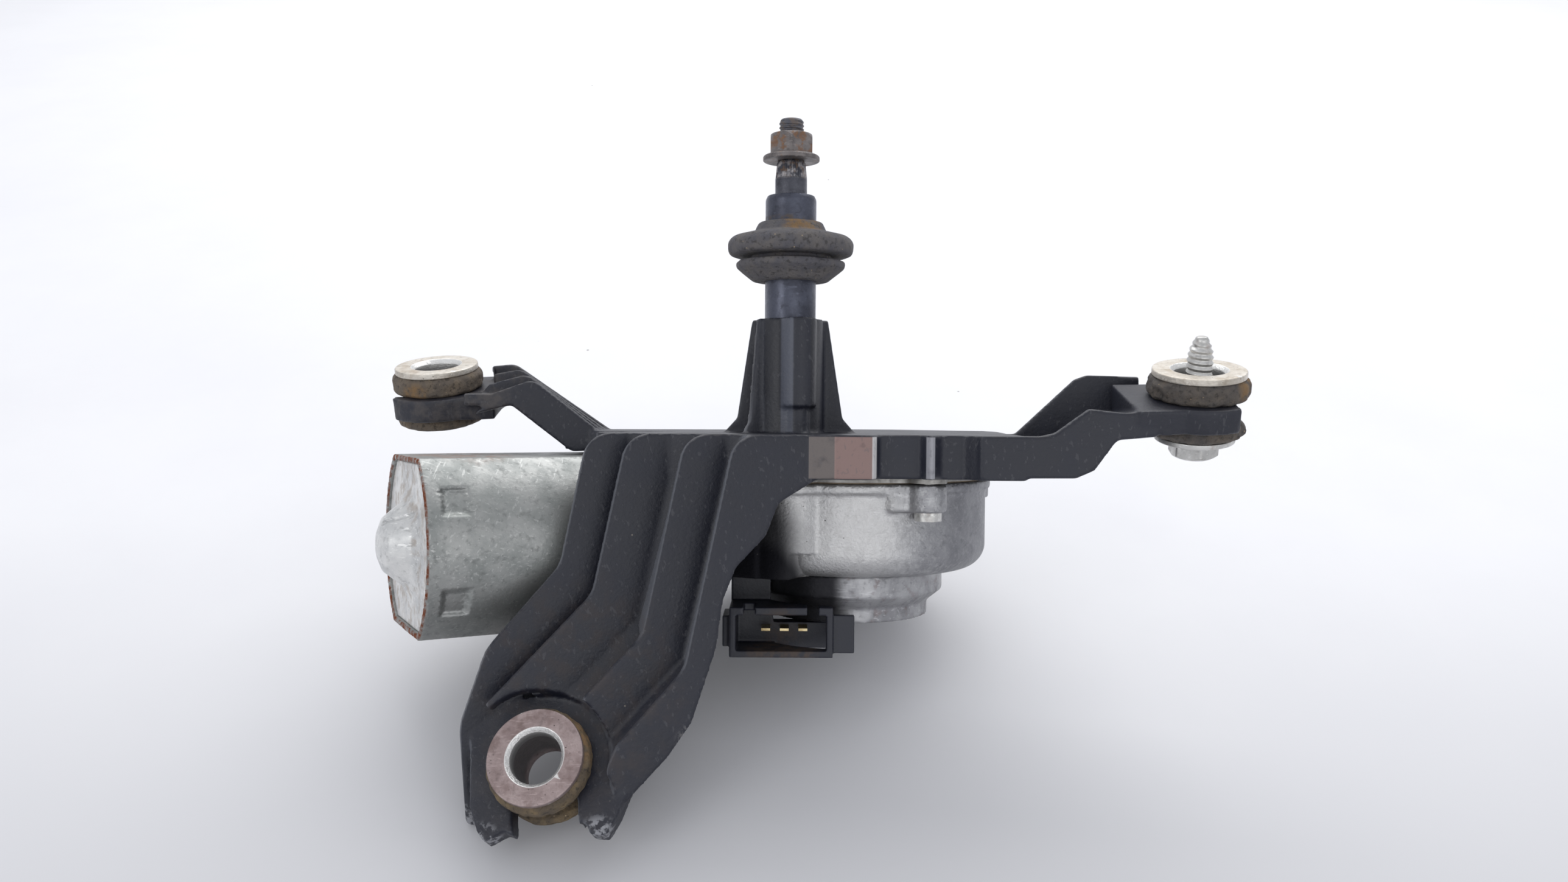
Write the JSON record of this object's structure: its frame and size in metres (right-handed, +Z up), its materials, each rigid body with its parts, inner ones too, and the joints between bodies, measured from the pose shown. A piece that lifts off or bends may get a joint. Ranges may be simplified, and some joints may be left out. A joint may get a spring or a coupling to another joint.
{
  "type": "rear windshield wiper motor",
  "caption": "Rear wiper motor on a ribbed plastic bracket with rubber-bushed feet: worm gearbox, swing linkage and an upright spindle with its grommet and nut.",
  "frame": {"origin": "on the bench, under the middle of the unit's box", "axes": "+X to the right along the row of side feet, +Y away from the front foot, +Z up; the spindle leans back by 31.5 degrees from +Z towards +Y"},
  "size_m": [0.2766, 0.166, 0.1703],
  "materials": {
    "bracket_plastic": "glass-filled nylon, dusty and scuffed",
    "bush_rubber": "dusty moulded rubber",
    "seal_rubber": "weathered moulded rubber",
    "zinc_steel": "zinc plated, pitted",
    "bright_steel": "bright zinc plating",
    "dark_steel": "phosphated, rusty at its foot",
    "ground_steel": "ground",
    "cast_alloy": "die-cast, mottled",
    "cover_steel": "zinc plated sheet",
    "can_steel": "zinc plated, red rust at the raw edge",
    "cap_steel": "zinc plated, stained",
    "black_plastic": "moulded",
    "paper": "gasket sheet",
    "brass_tab": "tinned",
    "bronze": "sintered, oiled",
    "ferrite": "sintered",
    "core_steel": "stacked sheets",
    "copper": "enamelled wire",
    "carbon": "pressed carbon",
    "gear_plastic": "moulded acetal",
    "brown_plastic": "moulded phenolic"
  },
  "bodies": {
    "root": {"bracket": "bracket_plastic", "left_bush": "bush_rubber", "right_bush": "bush_rubber", "front_bush": "bush_rubber", "left_sleeve": "zinc_steel", "right_sleeve": "zinc_steel", "front_sleeve": "zinc_steel", "mount_screw": "bright_steel", "mount_washer": "bright_steel", "spindle_tube": "ground_steel", "lower_spindle_bush": "bronze", "upper_spindle_bush": "bronze", "seal_ring": "seal_rubber", "grommet": "seal_rubber", "gear_housing": "cast_alloy", "gear_cover": "cover_steel", "gasket": "paper", "housing_screws": "bright_steel", "bottom_cover": "cover_steel", "contact_plate": "brown_plastic", "connector_shell": "black_plastic", "connector_pins": "brass_tab", "motor_can": "can_steel", "end_cap": "cap_steel", "magnets": "ferrite", "rear_bearing": "bronze", "front_bearing": "bronze", "thrust_ball": "ground_steel", "brush_holder": "brown_plastic", "brushes": "carbon", "brush_springs": "ground_steel", "wheel_axle": "ground_steel", "wheel_washer": "ground_steel"},
    "spindle": {"spindle": "ground_steel", "output_pinion": "ground_steel", "spindle_nut": "dark_steel", "spindle_circlip": "ground_steel"},
    "swing_link": {"swing_link": "cover_steel"},
    "rod": {"sector_rod": "ground_steel", "crank_pin": "ground_steel", "rod_pin": "ground_steel"},
    "worm_wheel": {"worm_wheel": "gear_plastic"},
    "armature": {"armature_shaft": "ground_steel", "armature_core": "core_steel", "windings": "copper", "commutator": "copper"}
  },
  "joints": [
    {"name": "armature_turn", "type": "hinge", "parent": "root", "child": "armature", "pos_m": [-0.12233, -0.00384, 0.05543], "axis": [0.8788, 0.407, -0.2491], "range_deg": [-11719.17, 0]},
    {"name": "wheel_turn", "type": "hinge", "parent": "root", "child": "worm_wheel", "pos_m": [0.02059, 0.02583, 0.03809], "axis": [0, 0.5221, 0.8529], "range_deg": [-183.21, 0.1]},
    {"name": "spindle_turn", "type": "hinge", "parent": "root", "child": "spindle", "pos_m": [-0.00133, 0.0165, 0.08484], "axis": [0, 0.5221, 0.8529], "range_deg": [-110.25, 0.1]},
    {"name": "link_swing", "type": "hinge", "parent": "root", "child": "swing_link", "pos_m": [-0.00133, 0.00502, 0.06608], "axis": [0, 0.5221, 0.8529], "range_deg": [-56.73, 0.1]},
    {"name": "rod_swing", "type": "hinge", "parent": "swing_link", "child": "rod", "pos_m": [-0.01719, 0.01024, 0.06288], "axis": [0, 0.5221, 0.8529], "range_deg": [-0.1, 53.62]}
  ],
  "couplings": [
    {"joint": "wheel_turn", "follows": "armature_turn", "ratio": 0.015625},
    {"joint": "spindle_turn", "follows": "armature_turn", "ratio": 0.0093989},
    {"joint": "link_swing", "follows": "armature_turn", "ratio": 0.0048322},
    {"joint": "rod_swing", "follows": "armature_turn", "ratio": -0.0045666}
  ]
}
